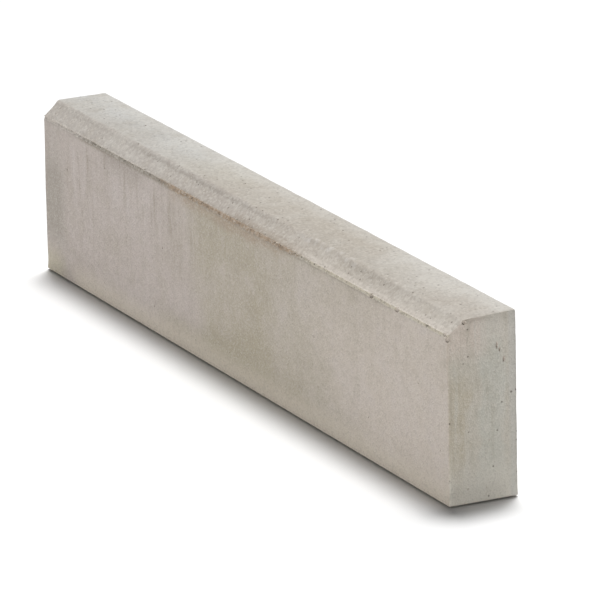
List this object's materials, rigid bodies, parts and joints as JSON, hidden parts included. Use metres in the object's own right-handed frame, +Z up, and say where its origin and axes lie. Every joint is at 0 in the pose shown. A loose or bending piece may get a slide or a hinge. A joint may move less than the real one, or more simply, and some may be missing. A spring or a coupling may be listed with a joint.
{
  "type": "concrete kerb stone",
  "caption": "Straight pressed-concrete kerb stone standing on its narrow base, with a bevel along its top front edge and a fine parting groove under the bevel.",
  "frame": {"origin": "middle of the base, on the ground", "axes": "+X along the stone, +Y from the bevelled front face to the plain back face, +Z up"},
  "size_m": [1, 0.08, 0.2],
  "materials": {
    "concrete": "matte"
  },
  "bodies": {
    "root": {"kerb_stone": "concrete"}
  },
  "joints": []
}
